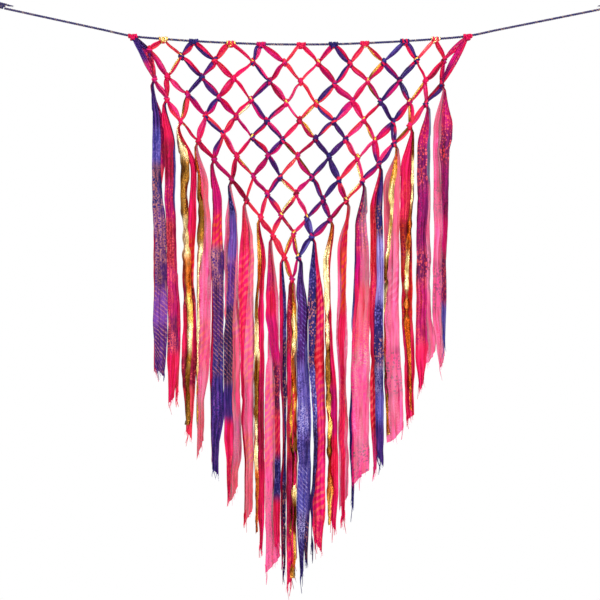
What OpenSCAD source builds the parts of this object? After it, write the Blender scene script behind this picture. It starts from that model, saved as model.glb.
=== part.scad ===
// A wall hanging of silk ribbons: a knotted diamond net on a twisted cord, with a long ribbon fringe.
// The origin is the centre of the left hanging loop. +X runs to the right loop, +Y away from the
// viewer, +Z up. Everything hangs in the plane Y = 0, so outlines are [x, z] pairs.

/* [Hanging cord] */
// Thickness of the twisted hanging cord
cord_d = 4.5; // [3.5:0.5:5.5]
// Inner diameter of each hanging loop
loop_inner_d = 17.5; // [15:0.5:20]
// Diameter of the knot that closes each hanging loop
loop_knot_d = 13; // [12:0.5:14]

/* [Net] */
// Distance between neighbouring knots of the top row
top_pitch = 60.2; // [59.2:0.1:61.2]
// Drop from one row of knots to the next
row_drop = 33.8; // [33.2:0.1:34.6]
// Rise of the top row from its middle knot to its end knots
cord_sag = 15; // [12:0.5:18]
// Drop from the end knot of a row to the edge knot under it
edge_drop = 43; // [41:0.5:45]
// Drop from the last row to the knot at the tip of the net
tip_drop = 84; // [82:0.5:88]
// Diameter of a knot
knot_d = 14.4; // [14:0.1:15]
// Thickness of a pair of ribbons halfway between two knots
arm_mid_d = 6.6; // [5:0.2:7]
// Thickness of a pair of ribbons where it enters a knot
arm_end_d = 4; // [3:0.2:4]

/* [Fringe] */
// Drop from the loops to the end of the longest ribbon
fringe_drop = 1045; // [1000:5:1080]
// How much shorter the fringe gets for each millimetre away from its tip
fringe_rise = 1.48; // [1.3:0.02:1.5]
// Thickness of a hanging ribbon with its folds
ribbon_t = 2.4; // [1.6:0.2:4]
// Gap between neighbouring ribbons of the fringe
ribbon_gap = 1.2; // [1:0.1:1.6]
// Width of a fringe ribbon where it leaves its knot
neck_w = 2.4; // [2:0.1:2.4]

/* [Hidden] */
$fn = 24;

LEFT = -1;
RIGHT = 1;
rows = 10;
// The net's middle, the right loop's centre and the height of the top row's middle knot.
net_x = 555;
right_loop_x = 1130;
top_z = -70;

// The cord runs straight from each loop knot to the net, and dips a little across it.
cord_sides = 8;
cord_route = [
    [23, -5], [80, -17.5], [140, -30.5], [200, -43.5],
    [254, -55], [314, -60.5], [374, -64.5], [435, -67.5], [495, -69.5],
    [555, -70], [615, -69.5], [675, -67.5], [736, -64.5], [796, -60.5], [856, -55],
    [910, -44], [970, -32], [1030, -20], [1090, -8], [1107, -4.5]];

loop_r = (loop_inner_d + cord_d) / 2;
loop_knot_x = 17;
knot_r = knot_d / 2;
// A pair of ribbons ends just inside its knots.
arm_inset = knot_r - 0.6;

// Each bundle of the fringe hangs in its own slot. These are the two outer edges of the fringe, and
// the place where it reaches lowest.
fringe_left = -266;
fringe_right = 272;
fringe_tip_x = -20;
// A ribbon of the fringe reaches its own slot this far below its knot.
spread_drop = 68;
neck_drop = knot_r + 0.8;
neck_gap = 0.6;
// Width of a bundle's two necks, and of the four at the tip.
two_necks = 2 * neck_w + neck_gap;
tip_necks = 4 * neck_w + 3 * neck_gap;
// Necks hang on the outer side of their knot, clear of the pair that goes on along the edge.
neck_offset = 2;
end_slant = 7;
end_wander = 13;

// Small steady irregularity of hand-tied knots, from a knot's row and place.
function wander(row, place) =
    [3 * sin(137 * row + 61 * place), 2.4 * sin(211 * row + 97 * place)];

// The net narrows, drifts to the left and flattens out from row to row.
function pitch(row) = top_pitch - 0.9 * row - 0.06 * row * row;
function drift(row) = -0.12 * row * row;
function arch(row, place) = cord_sag * pow(place / 5, 2) * max(0, 1 - row / 6);
function tilt(row) = 0.02 * min(1, row / 2);

function header_knot(place) =
    [net_x + place * top_pitch, top_z + arch(0, place)];
function row_knot(row, place) =
    let (x = drift(row) + place * pitch(row))
    [net_x + x, top_z - row * row_drop + arch(row, place) - x * tilt(row)] + wander(row, place);
function row_end(side, row) = row_knot(row, side * (rows - row) / 2);
function edge_knot(side, k) =
    row_end(side, k) + [side * (12 - 20 / k), -edge_drop];
function tip() =
    [net_x + drift(11), top_z - rows * row_drop - tip_drop];

// Strand 1 is the outermost pair of ribbons and strand 11 the one nearest the middle. Each zigzags
// down between two columns of knots until it meets the edge, takes two edge knots and leaves.
function strand_place(side, strand, row) =
    let (column = floor((strand - 1) / 2), odd = (strand - 1) % 2)
    -side * (column - 5 + (row % 2) * (odd - 0.5));
function strand_knots(side, strand) = concat(
    [header_knot(side * (5 - floor((strand - 1) / 2)))],
    [for (row = [1:1:strand - 1]) row_knot(row, strand_place(side, strand, row))],
    [edge_knot(side, strand - 1)],
    [strand == rows + 1 ? tip() : edge_knot(side, strand)]);

// Inner edge of bundle k's slot, which lies between its own neck and the next one's, and nearer the
// next one's towards the outside of the fringe. Every neck hangs inside its slot.
function slot_edge(side, k) =
    let (own = edge_knot(side, k)[0] + side * neck_offset,
         next = k == rows
            ? tip()[0] + side * tip_necks / 2
            : edge_knot(side, k + 1)[0] + side * (neck_offset + two_necks))
    own + (next - own) * (0.92 - 0.05 * k);
function slot_outer(side, k) =
    k > 1 ? slot_edge(side, k - 1) : net_x + (side == LEFT ? fringe_left : fringe_right);
function fringe_end(x, n) =
    -fringe_drop + end_wander + fringe_rise * abs(x - fringe_tip_x) + end_wander * sin(141 * n);
// Share of a two-ribbon bundle's slot that its left ribbon takes.
function left_share(i) = 0.5 + 0.12 * sin(160 * i);

// A pair of ribbons pulled straight between two knots, thickest halfway.
module arm(a, b) {
    h = norm(b - a) / 2 - arm_inset;
    translate([a[0], 0, a[1]])
        rotate([0, atan2(b[0] - a[0], b[1] - a[1]), 0])
            translate([0, 0, arm_inset]) {
                cylinder(h = h, d1 = arm_end_d, d2 = arm_mid_d);
                translate([0, 0, h]) cylinder(h = h, d1 = arm_mid_d, d2 = arm_end_d);
            }
}

module knot_at(p, d = knot_d) {
    translate([p[0], 0, p[1]]) sphere(d = d, $fn = 32);
}

// The outermost pair misses the first row: it bows outwards from the cord to the first edge knot.
module outer_arm(side) {
    from = header_knot(side * 5) + [side * 5, -3.5];
    to = edge_knot(side, 1) + [side * 6, 1.5];
    bow = (from + to) / 2 + [side * 9, 4];
    for (ends = [[from, bow], [bow, to]])
        translate([ends[0][0], 0, ends[0][1]])
            rotate([0, atan2(ends[1][0] - ends[0][0], ends[1][1] - ends[0][1]), 0])
                cylinder(h = norm(ends[1] - ends[0]), d = arm_end_d);
    knot_at(bow, arm_mid_d);
}

// The cord as one tube: a ring of cord_sides points at each point of the route.
module hanging_cord() {
    last = len(cord_route) - 1;
    dirs = [for (i = [0:last])
        let (d = cord_route[min(i + 1, last)] - cord_route[max(i - 1, 0)]) d / norm(d)];
    points = [for (i = [0:last], s = [0:cord_sides - 1])
        let (u = cord_d / 2 * cos(360 * s / cord_sides), v = cord_d / 2 * sin(360 * s / cord_sides))
        [cord_route[i][0] - dirs[i][1] * u, v, cord_route[i][1] + dirs[i][0] * u]];
    sides = [for (i = [0:last - 1], s = [0:cord_sides - 1])
        let (a = i * cord_sides, t = (s + 1) % cord_sides)
        [a + s, a + t, a + cord_sides + t, a + cord_sides + s]];
    first_cap = [for (s = [0:cord_sides - 1]) cord_sides - 1 - s];
    last_cap = [for (s = [0:cord_sides - 1]) last * cord_sides + s];
    color("midnightblue") polyhedron(points, concat([first_cap], sides, [last_cap]));
}

// An eye in the cord's end, which a hook or a nail passes through along Y.
module hanging_loop(x) {
    color("midnightblue")
        translate([x, 0, 0])
            rotate([90, 0, 0])
                rotate_extrude($fn = 48) translate([loop_r, 0]) circle(d = cord_d);
}

module loop_knot(x) {
    color("midnightblue") knot_at([x, 0], loop_knot_d);
}

module header_knots() {
    color("crimson") for (place = [-5:5]) knot_at(header_knot(place));
}

module net_knots() {
    color("mediumvioletred")
        for (row = [1:rows], c = [0:rows - row]) knot_at(row_knot(row, c - (rows - row) / 2));
}

module edge_knots(side) {
    color("firebrick") for (k = [1:rows]) knot_at(edge_knot(side, k));
}

module tip_knot() {
    color("darkred") knot_at(tip());
}

module zigzag(knots) {
    for (i = [0:len(knots) - 2]) arm(knots[i], knots[i + 1]);
}

module strand(side, k) {
    color(k % 3 == 0 ? "goldenrod" : k % 3 == 1 ? "deeppink" : "slateblue")
        if (k == 1)
            outer_arm(side);
        else
            zigzag(strand_knots(side, k));
}

// One hanging ribbon: a narrow neck under its knot, its slot from left to right, a slanted end.
module hanging_ribbon(knot, neck_left, left, right, n) {
    end = fringe_end((left + right) / 2 - net_x, n);
    slant = n % 2 == 0 ? end_slant : -end_slant;
    translate([0, ribbon_t / 2, 0])
        rotate([90, 0, 0])
            linear_extrude(ribbon_t)
                polygon([
                    [neck_left, knot[1] - neck_drop], [neck_left + neck_w, knot[1] - neck_drop],
                    [right, knot[1] - spread_drop], [right, end + slant],
                    [left, end - slant], [left, knot[1] - spread_drop]]);
}

// Two ribbons side by side in a bundle's slot, hung from its knot. They are numbered from the left.
module fringe(side, k) {
    knot = edge_knot(side, k);
    edges = [slot_outer(side, k), slot_edge(side, k)];
    i = side == LEFT ? k - 1 : 21 - k;
    left = min(edges) + ribbon_gap / 2;
    right = max(edges) - ribbon_gap / 2;
    middle = left + (right - left) * left_share(i);
    neck = knot[0] + (side == LEFT ? -neck_offset - two_necks : neck_offset);
    color("hotpink") hanging_ribbon(knot, neck, left, middle - ribbon_gap / 2, 2 * i);
    color("orange")
        hanging_ribbon(knot, neck + neck_w + neck_gap, middle + ribbon_gap / 2, right, 2 * i + 1);
}

module tip_fringe() {
    left = slot_edge(LEFT, rows);
    width = (slot_edge(RIGHT, rows) - left) / 4;
    for (j = [0:3])
        color(j % 2 == 0 ? "crimson" : "gold")
            hanging_ribbon(
                tip(), tip()[0] - tip_necks / 2 + j * (neck_w + neck_gap),
                left + j * width + ribbon_gap / 2, left + (j + 1) * width - ribbon_gap / 2, j + 20);
}

hanging_cord();
hanging_loop(0);  // left_hanging_loop
hanging_loop(right_loop_x);  // right_hanging_loop
loop_knot(loop_knot_x);  // left_loop_knot
loop_knot(right_loop_x - loop_knot_x);  // right_loop_knot
header_knots();
net_knots();
edge_knots(LEFT);  // left_edge_knots
edge_knots(RIGHT);  // right_edge_knots
tip_knot();
for (k = [1:11]) strand(LEFT, k);
for (k = [1:11]) strand(RIGHT, k);
for (k = [1:10]) fringe(LEFT, k);
for (k = [1:10]) fringe(RIGHT, k);
tip_fringe();
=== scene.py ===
"""The looks of the ribbon wall hanging: silk, chiffon and metallic ribbons knotted on a twisted cord.

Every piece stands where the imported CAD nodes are. Lengths are in metres, in the row frame: +X from the
left hanging loop to the right one, +Y away from the viewer, +Z up.
"""

import math
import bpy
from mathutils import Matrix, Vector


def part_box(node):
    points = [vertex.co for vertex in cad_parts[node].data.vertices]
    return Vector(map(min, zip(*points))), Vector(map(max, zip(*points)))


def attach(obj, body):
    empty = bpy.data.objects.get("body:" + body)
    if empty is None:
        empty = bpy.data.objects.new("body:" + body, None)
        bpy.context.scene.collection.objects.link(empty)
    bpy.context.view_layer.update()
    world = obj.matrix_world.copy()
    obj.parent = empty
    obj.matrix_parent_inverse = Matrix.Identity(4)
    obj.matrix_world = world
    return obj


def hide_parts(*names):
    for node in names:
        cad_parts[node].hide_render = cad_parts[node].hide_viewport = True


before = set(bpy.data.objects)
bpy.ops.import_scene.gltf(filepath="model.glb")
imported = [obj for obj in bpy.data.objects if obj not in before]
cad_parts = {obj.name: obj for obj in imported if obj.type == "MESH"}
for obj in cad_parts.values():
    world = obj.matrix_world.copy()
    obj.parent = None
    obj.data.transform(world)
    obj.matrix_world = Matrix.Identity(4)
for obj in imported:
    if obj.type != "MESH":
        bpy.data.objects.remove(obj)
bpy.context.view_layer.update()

import zlib

import bpy
import numpy as np
from mathutils import Vector

MM = 0.001
BACK = np.array((0.0, 1.0, 0.0))
NET, ROOT = "net", "root"
KNOT_NODES = ("header_knots", "net_knots", "left_edge_knots", "right_edge_knots", "tip_knot")

# ---------------------------------------------------------------------------------------------------
# Tables: colours as sRGB, the ribbons' colours and places, and sizes
# ---------------------------------------------------------------------------------------------------
DYES = {
    "crimson": (226, 0, 96), "hotpink": (240, 0, 108), "pink": (240, 18, 122),
    "pale": (238, 42, 134), "rose": (246, 106, 166), "coral": (242, 50, 94),
    "red": (224, 4, 62), "dark": (158, 2, 62), "magenta": (194, 0, 116),
    "plum": (124, 12, 94), "purple": (82, 28, 118), "violet": (118, 60, 158),
    "navy": (48, 36, 116), "indigo": (50, 24, 90), "sky": (80, 72, 162),
    "lilac": (140, 122, 204), "mist": (196, 184, 232), "orange": (234, 94, 42),
    "gold": (242, 192, 100), "bronze": (150, 100, 36), "champagne": (255, 232, 176),
    "copper": (206, 112, 44), "apricot": (250, 100, 102), "sand": (208, 138, 132),
}
# The record's slot for each colour of silk. Every other colour counts as pale pink.
SLOTS = {
    "crimson": "crimson_silk", "red": "crimson_silk", "dark": "crimson_silk",
    "hotpink": "pink_silk", "pink": "pink_silk", "coral": "orange_silk", "orange": "orange_silk",
    "magenta": "magenta_silk", "plum": "magenta_silk", "purple": "purple_silk",
    "violet": "purple_silk", "navy": "navy_silk", "indigo": "navy_silk", "sky": "navy_silk",
    "lilac": "navy_silk",
}
PRINTS = ("dots", "stripes", "mosaic", "bands")
# Plain silk is mottled a little with one of these.
TINTS = {
    "crimson": "coral", "hotpink": "coral", "pink": "rose", "pale": "rose", "coral": "apricot",
    "red": "coral", "dark": "crimson", "magenta": "pink", "plum": "magenta", "purple": "violet",
    "violet": "lilac", "navy": "violet", "indigo": "violet", "sky": "lilac", "lilac": "mist",
    "orange": "coral",
}

# The two ribbons of each strand of the net: cloth, and colours from the knot under the cord down to the
# last edge knot. A colour may carry a print and the print's colour.
STRANDS = {
    "left_strand_1": (
        "silk navy purple magenta:dots:apricot",
        "silk navy magenta:dots:apricot magenta"),
    "left_strand_2": ("silk navy dark magenta", "silk navy:dots:sand coral pink"),
    "left_strand_3": (
        "silk crimson magenta crimson coral",
        "silk coral pink crimson:dots:orange pink"),
    "left_strand_4": ("gold gold champagne bronze gold", "silk coral crimson pink coral crimson"),
    "left_strand_5": ("silk navy purple navy magenta pink dark", "silk crimson navy magenta crimson"),
    "left_strand_6": ("silk navy purple navy purple magenta", "silk crimson magenta coral magenta"),
    "left_strand_7": (
        "silk crimson pink magenta coral crimson dark",
        "silk coral hotpink crimson pink dark"),
    "left_strand_8": ("silk crimson hotpink magenta crimson coral", "gold gold champagne gold bronze"),
    "left_strand_9": (
        "silk navy magenta purple magenta crimson",
        "silk pink purple crimson magenta coral"),
    "left_strand_10": (
        "silk magenta dark navy purple magenta coral",
        "silk crimson pink magenta purple coral"),
    "left_strand_11": ("gold gold bronze champagne gold", "silk coral pink crimson coral dark coral"),
    "right_strand_11": (
        "silk crimson coral dark magenta pink magenta",
        "gold champagne gold bronze gold"),
    "right_strand_10": (
        "silk magenta navy purple navy purple navy",
        "silk crimson coral purple magenta sky"),
    "right_strand_9": (
        "silk navy magenta purple navy purple",
        "silk crimson pink purple navy magenta"),
    "right_strand_8": (
        "silk crimson pink coral crimson magenta",
        "silk coral crimson pink coral dark"),
    "right_strand_7": ("gold gold bronze gold champagne", "silk crimson magenta crimson pink coral"),
    "right_strand_6": (
        "silk sky purple navy magenta purple",
        "silk navy magenta purple crimson magenta"),
    "right_strand_5": (
        "silk crimson indigo:dots:lilac magenta navy pink",
        "silk navy indigo:dots:lilac crimson purple"),
    "right_strand_4": ("gold champagne gold bronze", "silk coral crimson hotpink coral"),
    "right_strand_3": ("silk coral crimson pink coral", "silk crimson dark hotpink pink"),
    "right_strand_2": ("silk magenta:dots:apricot crimson dark", "silk crimson magenta navy"),
    "right_strand_1": (
        "silk magenta:dots:apricot magenta plum",
        "silk crimson magenta:dots:apricot crimson"),
}

# The ribbons of each bundle of the fringe: cloth (+ if it hangs in front), what part of the bundle's
# width it takes, in percent from the left (at the top > lower down), and its colours from the top.
TAILS = {
    "left_fringe_1": (
        "silk 45-100>0-32 magenta:dots:rose magenta:dots:apricot coral pink:dots:apricot coral pink",
        "silk+ 0-60>14-100 navy sky:dots:lilac navy:mosaic:sand purple:mosaic:sand purple:mosaic:sand "
        "violet:stripes:sand purple:stripes:sand"),
    "left_fringe_2": (
        "silk+ 0-85>0-80 crimson dark magenta:dots:apricot dark:mosaic:apricot magenta:mosaic:apricot "
        "plum:mosaic:apricot crimson",
        "silk 70-100>60-100 navy sky magenta pink pink:dots:apricot coral"),
    "left_fringe_3": (
        "gold+ 0-54>22-72 champagne bronze bronze champagne copper gold champagne bronze bronze",
        "silk 55-100>4-98 coral:bands:red crimson hotpink red:bands:orange dark:dots:apricot crimson "
        "dark:dots:apricot coral"),
    "left_fringe_4": (
        "gold+ 0-46>0-20 copper bronze champagne champagne gold",
        "chiffon 16-100>6-100 pink hotpink pale pale pale:bands:apricot pale crimson"),
    "left_fringe_5": (
        "silk 0-70>0-30 magenta:bands:apricot crimson:bands:orange crimson crimson dark",
        "silk+ 24-100>16-100 magenta crimson:bands:orange purple:mosaic:sand purple:stripes:sand "
        "navy:stripes:sand navy:mosaic:violet navy"),
    "left_fringe_6": (
        "silk+ 42-90>0-46 navy:dots:lilac violet violet:stripes:sand indigo:stripes:sand "
        "indigo:stripes:sand navy crimson crimson:dots:apricot",
        "chiffon 0-100>18-100 pink pale pink pale:bands:apricot crimson crimson magenta crimson"),
    "left_fringe_7": (
        "silk+ 8-64>0-24 crimson:mosaic:apricot hotpink:bands:apricot hotpink crimson red",
        "chiffon 0-100 crimson hotpink:bands:apricot pale:bands:apricot pale:bands:apricot pale "
        "crimson:bands:orange crimson"),
    "left_fringe_8": (
        "gold+ 18-52>0-40 gold copper bronze champagne bronze bronze champagne copper copper",
        "silk 40-92>20-98 crimson red hotpink crimson dark dark crimson crimson"),
    "left_fringe_9": (
        "silk+ 4-62>64-98 magenta:mosaic:apricot crimson magenta plum:dots:apricot "
        "crimson:bands:apricot navy:dots:lilac crimson",
        "chiffon 20-100>0-100 hotpink pale pink pale:bands:apricot pale:bands:apricot "
        "pale:dots:magenta pale:dots:magenta"),
    "left_fringe_10": (
        "silk 0-84>0-74 hotpink hotpink pale pale:bands:apricot crimson:bands:apricot crimson magenta",
        "silk+ 62-100>52-100 navy:dots:lilac indigo:dots:sand navy:dots:lilac indigo:dots:sand"),
    "tip_fringe": (
        "silk 0-62>0-56 dark:dots:apricot crimson crimson:mosaic:orange dark crimson",
        "silk 14-74>24-88 crimson dark red:bands:orange orange:bands:red crimson dark",
        "gold+ 60-96>42-88 gold champagne copper gold bronze champagne bronze gold",
        "chiffon 10-90>16-100 coral pale:dots:crimson magenta pale pink:bands:apricot"),
    "right_fringe_10": (
        "silk+ 0-84>0-66 indigo purple:stripes:lilac purple:stripes:lilac lilac:mosaic:navy "
        "sky:mosaic:mist navy:mosaic:lilac sky:stripes:mist navy:mosaic:mist navy:stripes:lilac",
        "silk 50-100>40-100 navy indigo sky sky:mosaic:lilac sky:mosaic:mist sky navy:dots:sand"),
    "right_fringe_9": (
        "silk+ 0-50>0-20 navy:dots:lilac navy:dots:sand sky:dots:mist indigo:dots:lilac indigo",
        "silk 34-100>8-100 hotpink crimson:bands:apricot crimson:bands:apricot red:bands:apricot "
        "pale:bands:apricot pale:bands:apricot pink:bands:apricot hotpink:bands:apricot "
        "crimson:dots:apricot"),
    "right_fringe_8": (
        "gold+ 0-58>0-56 copper champagne champagne champagne bronze bronze gold bronze copper gold",
        "silk 30-70>28-96 coral coral:bands:orange crimson hotpink magenta red crimson"),
    "right_fringe_7": (
        "silk+ 50-96>24-60 crimson:bands:orange orange:bands:crimson crimson crimson:dots:apricot "
        "coral:bands:crimson crimson",
        "chiffon 0-50>0-92 crimson hotpink pale pale:bands:rose pale crimson:bands:apricot pale pale"),
    "right_fringe_6": (
        "silk 0-40>0-24 plum navy sky lilac navy:dots:lilac navy navy:dots:lilac",
        "chiffon+ 8-100>10-100 plum:dots:apricot magenta:dots:apricot magenta crimson "
        "pink:mosaic:apricot pale:mosaic:sand pale:mosaic:sand pale pale:dots:plum"),
    "right_fringe_5": (
        "silk 0-70>0-62 crimson:dots:apricot red:mosaic:apricot crimson:mosaic:apricot crimson "
        "red:bands:apricot pale",
        "silk+ 60-100>48-100 navy navy:dots:sand lilac lilac navy:dots:lilac navy:dots:sand "
        "navy:mosaic:mist sky navy"),
    "right_fringe_4": (
        "gold+ 42-70>0-14 gold champagne champagne bronze champagne gold bronze gold",
        "chiffon 0-100>4-100 crimson hotpink pink pale:bands:rose pale pale:dots:plum pale"),
    "right_fringe_3": (
        "silk 0-84>14-92 crimson crimson:mosaic:apricot dark:mosaic:orange red:dots:orange crimson "
        "crimson",
        "gold+ 78-100>30-66 bronze champagne copper champagne copper copper copper"),
    "right_fringe_2": (
        "silk+ 0-74>0-64 magenta:dots:apricot plum:dots:apricot plum:mosaic:magenta plum:dots:apricot "
        "magenta:mosaic:apricot crimson",
        "chiffon 50-100>42-100 sky navy rose pale rose:dots:plum pale pale"),
    "right_fringe_1": (
        "chiffon 0-46>0-82 pale pale pale:dots:plum pale pale:dots:plum pale",
        "silk+ 44-100>70-100 magenta:dots:apricot plum:dots:apricot plum:mosaic:magenta magenta "
        "plum:dots:apricot sky"),
}

# The net hangs a little unevenly. How far each knot lies from its regular place, as "right/up" in
# millimetres: the knots on the cord from the left, the net's rows from the top and each from the left,
# and the knots down each edge, which only shift sideways, because the fringe turns about them.
UNEVEN = {
    "header_knots": ("0/0 -5/0 -11/0 -4/0 -10/0 2/0 0/0 -4/0 8/0 3/0 1/0",),
    "net_knots": (
        "-2/10 -3/6 -4/2 2/-2 -1/0 3/3 4/-1 5/-2 3/2 -9/1",
        "-7/-3 -4/0 -4/4 6/1 5/-2 6/-4 4/4 2/2 -8/-2",
        "-1/6 0/0 0/-3 4/-3 -1/-3 9/-2 5/-2 2/0",
        "-1/3 -4/5 -4/-5 2/-3 10/-1 8/2 2/-5",
        "0/2 1/0 1/-2 4/-1 1/-3 0/-1",
        "-3/0 -2/0 -3/2 3/4 5/0",
        "-3/-1 -3/-3 5/-5 1/-7",
        "0/-1 0/4 -3/-7",
        "-3/-6 -1/-9",
        "3/-1"),
    "left_edge_knots": ("-1/0", "-6/0", "-8/0", "-7/0", "-8/0", "-3/0", "-6/0", "-2/0", "-8/0", "-4/0"),
    "right_edge_knots": ("-6/0", "-9/0", "-3/0", "-3/0", "-2/0", "4/0", "5/0", "0/0", "-2/0", "2/0"),
}

# The gaps between neighbouring bundles, from the left side of left_fringe_1 to the right side of
# right_fringe_1, each as "depth below the loops : shift of its middle / its width", in millimetres.
GAPS = (
    "350:0/0 640:2/0",
    "350:0/0 400:5/0 600:6/0 690:3/0",
    "350:-2/11 458:0/9 530:4/8 575:5/6 610:4/0",
    "386:4/2 440:0/6 500:0/7 530:2/2 570:3/2 600:2/0",
    "350:-2/8 386:1/2 420:0/0 590:0/0 602:0/1 640:-2/0 674:-4/3 710:-7/12 760:-7/14",
    "350:-2/12 386:-4/5 430:-4/1 460:-3/0 740:-3/0 782:-7/9 818:-6/14",
    "386:-2/11 422:-3/5 458:-4/3 494:-5/1 530:-4/0 700:0/0 710:1/3 740:1/0 818:4/7 854:1/11",
    "422:2/9 458:3/7 494:1/7 530:-1/3 566:0/0 818:0/0 854:1/3",
    "458:0/4 494:-3/3 530:-5/3 566:-6/1 600:-5/0",
    "458:-3/11 530:0/0 690:2/0 710:3/3 746:4/5 782:4/5 818:4/3 854:2/0",
    "494:1/5 530:0/3 566:0/0",
    "494:-4/3 540:0/0 800:0/0 818:2/1 850:0/0",
    "494:-4/10 530:-2/2 560:0/0 638:0/1 680:3/0 746:7/5 782:7/6 818:7/5 854:6/3 890:4/0",
    "458:-5/7 494:-3/5 530:0/0 720:3/0 746:5/3 800:3/0",
    "458:-6/11 530:-6/11 602:-7/7 638:-5/7 674:-2/6 710:0/3 782:-1/1 830:0/0",
    "458:-3/17 494:-4/15 530:-4/12 566:-5/7 602:-5/7 638:-6/10 674:-7/8 710:-7/5 746:-7/1 782:-6/3 "
    "820:-5/0",
    "386:-2/9 422:0/5 458:1/1 490:1/0 625:1/0 638:2/3 660:1/0",
    "494:-7/2 530:-7/3 566:-7/3 602:-6/0 650:-6/0 674:-7/1 710:-5/3 782:-3/6",
    "494:-5/1 530:-6/3 566:-5/1 602:-4/3 638:-2/6 674:-1/1 710:0/0 746:3/3",
    "350:-5/7 386:-7/8 422:-7/6 530:-7/8 566:-7/5 602:-6/0 674:-5/1",
    "350:-8/7 422:-8/8 458:-8/5 494:-8/6 530:-8/3 566:-7/0 610:0/0 638:3/9",
    "180:0/0 205:4/0 240:3/0 258:-2/0 350:-4/0 386:-5/0 422:-7/0 458:-9/0 640:-9/0",
)

# How much longer a bundle hangs than its CAD solids, in millimetres.
LONGER = {
    "left_fringe_1": -24, "left_fringe_2": -14, "left_fringe_4": -28, "left_fringe_5": -14,
    "right_fringe_10": 14, "right_fringe_9": 15, "right_fringe_8": 15, "right_fringe_7": 36,
    "right_fringe_6": 30, "right_fringe_5": 34, "right_fringe_4": 22, "right_fringe_3": 32,
}

# Colours of the knots under the cord, from the left: first and second ribbon over the cord, and the
# cloth below it.
HEADERS = (
    "crimson crimson navy", "gold champagne coral", "navy navy crimson", "gold coral crimson",
    "magenta crimson navy", "crimson coral crimson", "navy navy crimson", "crimson coral champagne",
    "navy crimson crimson", "champagne coral crimson", "crimson crimson magenta")

# Cut width of each kind of ribbon, how many pleats it is gathered into, how far the slant of its cut
# end reaches, and how narrow its tip may be, as a share of its width.
CUT_WIDTH = {"silk": 0.022, "chiffon": 0.028, "gold": 0.013}
PLEATS = {"silk": 3, "chiffon": 3, "gold": 1}
SLANT = {"silk": (0.010, 0.026), "chiffon": (0.024, 0.038), "gold": (0.002, 0.008)}
TIP_SHARE = {"silk": (0.30, 0.85), "chiffon": (0.8, 1.0), "gold": (0.30, 0.85)}
NET_CUT_WIDTH = {"silk": 0.016, "gold": 0.012}
NET_PLEATS = {"silk": 3, "gold": 2}
OUTER_CUT_WIDTH, OUTER_PLEATS = 0.018, 3
# How much purer and darker painted fold shade makes a colour, as where the cloth lies double.
FOLD_SHADE_DEEPER, FOLD_SHADE_DARKER = 0.42, 0.22
# Distance between the rows of points of a hanging ribbon, how far before or behind the middle of its
# bundle it hangs, and half the width that it has at least.
ROW_STEP, LAYER_DEPTH, LEAST_HALF = 0.0048, 0.0034, 0.0014
# The cloths of the wraps of a knot, in the order of their materials.
KNOT_CLOTHS = ("silk", "gold")
# Distances between the threads of the weaves.
SILK_THREAD, CHIFFON_THREAD, METAL_THREAD = 0.0009, 0.0011, 0.0008
# A hanging ribbon has its whole width this far below its top.
NECK_LENGTH = 0.055
# The hanging width at which a ribbon's cut width is the usual one, and below which silk may turn over.
USUAL_WIDTH, TURNING_WIDTH = 0.018, 0.0135
# Loose threads at a cut end, and the limits within which the number of its torn strips is drawn.
THREADS = {"silk": 12, "chiffon": 6}
SLIVERS = {"silk": (1, 4), "chiffon": (0, 2)}
# Two places are the same if they are nearer than this.
SAME_PLACE = 1e-4

# The cord's route from part.scad, as x and z in millimetres.
CORD_ROUTE = [
    (23, -5), (80, -17.5), (140, -30.5), (200, -43.5), (254, -55), (314, -60.5), (374, -64.5),
    (435, -67.5), (495, -69.5), (555, -70), (615, -69.5), (675, -67.5), (736, -64.5), (796, -60.5),
    (856, -55), (910, -44), (970, -32), (1030, -20), (1090, -8), (1107, -4.5)]
CORD_D = 0.0045
# How much of the cord's direction at its ends is sideways, and how much down.
SIDEWAYS, DOWNWARDS = 0.965, 0.26

# The camera looks at the middle of the picture, which is so wide there.
VIEW_MIDDLE = (0.555, 0, -0.530)
VIEW_WIDTH = 1.08


# ---------------------------------------------------------------------------------------------------
# Small tools
# ---------------------------------------------------------------------------------------------------
def linear(rgb):
    """An sRGB colour of 0 to 255 as linear red, green and blue."""
    c = np.array(rgb, float) / 255
    return np.where(c <= 0.04045, c / 12.92, ((c + 0.055) / 1.055) ** 2.4)


def seed_of(*names):
    """A seed that is the same in each run."""
    return zlib.crc32("_".join(str(n) for n in names).encode())


def draws(seed):
    """Random numbers that are the same in each run."""
    return np.random.RandomState(seed % (2 ** 32))


def wander(seed, x, step):
    """Smooth noise from -1 to 1 along x, which turns about once a step."""
    x = np.asarray(x, float) / step
    low = math.floor(float(x.min()))
    values = draws(seed).uniform(-1, 1, int(x.max()) - low + 3)
    i = np.floor(x).astype(int) - low
    f = x - np.floor(x)
    f = f * f * (3 - 2 * f)
    return values[i] * (1 - f) + values[i + 1] * f


def smooth(x, low, high):
    """0 below low and 1 above high, with a smooth step between."""
    t = np.clip((np.asarray(x, float) - low) / (high - low), 0, 1)
    return t * t * (3 - 2 * t)


def islands(node):
    """The separate solids of a CAD node, each as an array of its corners."""
    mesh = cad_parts[node].data
    co = np.zeros(len(mesh.vertices) * 3)
    mesh.vertices.foreach_get("co", co)
    corners, index = np.unique(np.round(co.reshape(-1, 3), 6), axis=0, return_inverse=True)
    index = index.ravel()
    loops = np.zeros(len(mesh.loops), int)
    mesh.loops.foreach_get("vertex_index", loops)
    faces = index[loops].reshape(-1, 3)
    label = np.arange(len(corners))
    while True:
        low = label[faces].min(axis=1)
        new = label.copy()
        for k in range(3):
            np.minimum.at(new, faces[:, k], low)
        new = new[new]
        if (new == label).all():
            break
        label = new
    return [corners[label == k] for k in np.unique(label)]


def centres(node):
    """Centres of a node's round knots, as arrays of x, y and z."""
    return [(s.min(axis=0) + s.max(axis=0)) / 2 for s in islands(node)]


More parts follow.
